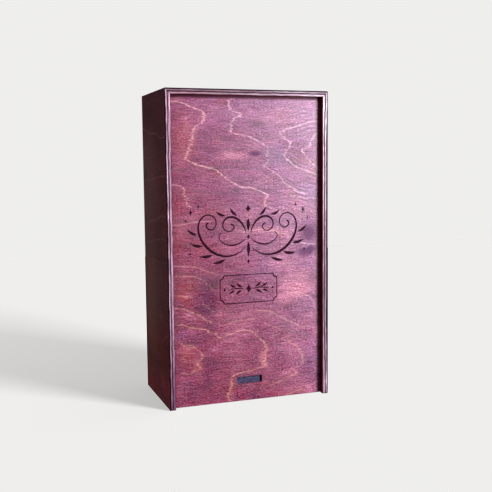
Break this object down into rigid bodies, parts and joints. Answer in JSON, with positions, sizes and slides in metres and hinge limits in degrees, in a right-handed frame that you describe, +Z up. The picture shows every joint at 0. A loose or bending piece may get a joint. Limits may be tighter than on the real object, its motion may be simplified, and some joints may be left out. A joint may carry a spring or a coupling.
{
  "type": "wooden gift box",
  "caption": "Tall plywood gift box with mitred upper corners and a flat front lid that slides out of grooves towards the foot, with a finger recess and engraved scrollwork.",
  "frame": {"origin": "middle of the foot, on the surface the box stands on", "axes": "+Z up along the height, -Y out of the lid face, +X to the right as the lid is looked at"},
  "size_m": [0.19, 0.112, 0.35],
  "materials": {
    "stained_five_ply": "purple-stained birch plywood with a satin lacquer, pale and dark plies showing on the edges",
    "stained_three_ply": "purple-stained thin birch plywood with a satin lacquer",
    "stained_lid_ply": "magenta to purple stained birch veneer with pale growth-ring lines, satin lacquer, dark engraving",
    "pin_steel": "brad heads stained over with the wood"
  },
  "bodies": {
    "carcass": {"left_side": "stained_five_ply", "right_side": "stained_five_ply", "top_end": "stained_five_ply", "bottom_end": "stained_five_ply", "back_panel": "stained_three_ply", "top_corner_pins": "pin_steel", "bottom_corner_pins": "pin_steel", "back_panel_pins": "pin_steel"},
    "lid": {"sliding_lid": "stained_lid_ply"}
  },
  "joints": [
    {"name": "lid_slide", "type": "slide", "parent": "carcass", "child": "lid", "axis": [0, 0, -1], "range_m": [0, 0.35]}
  ]
}
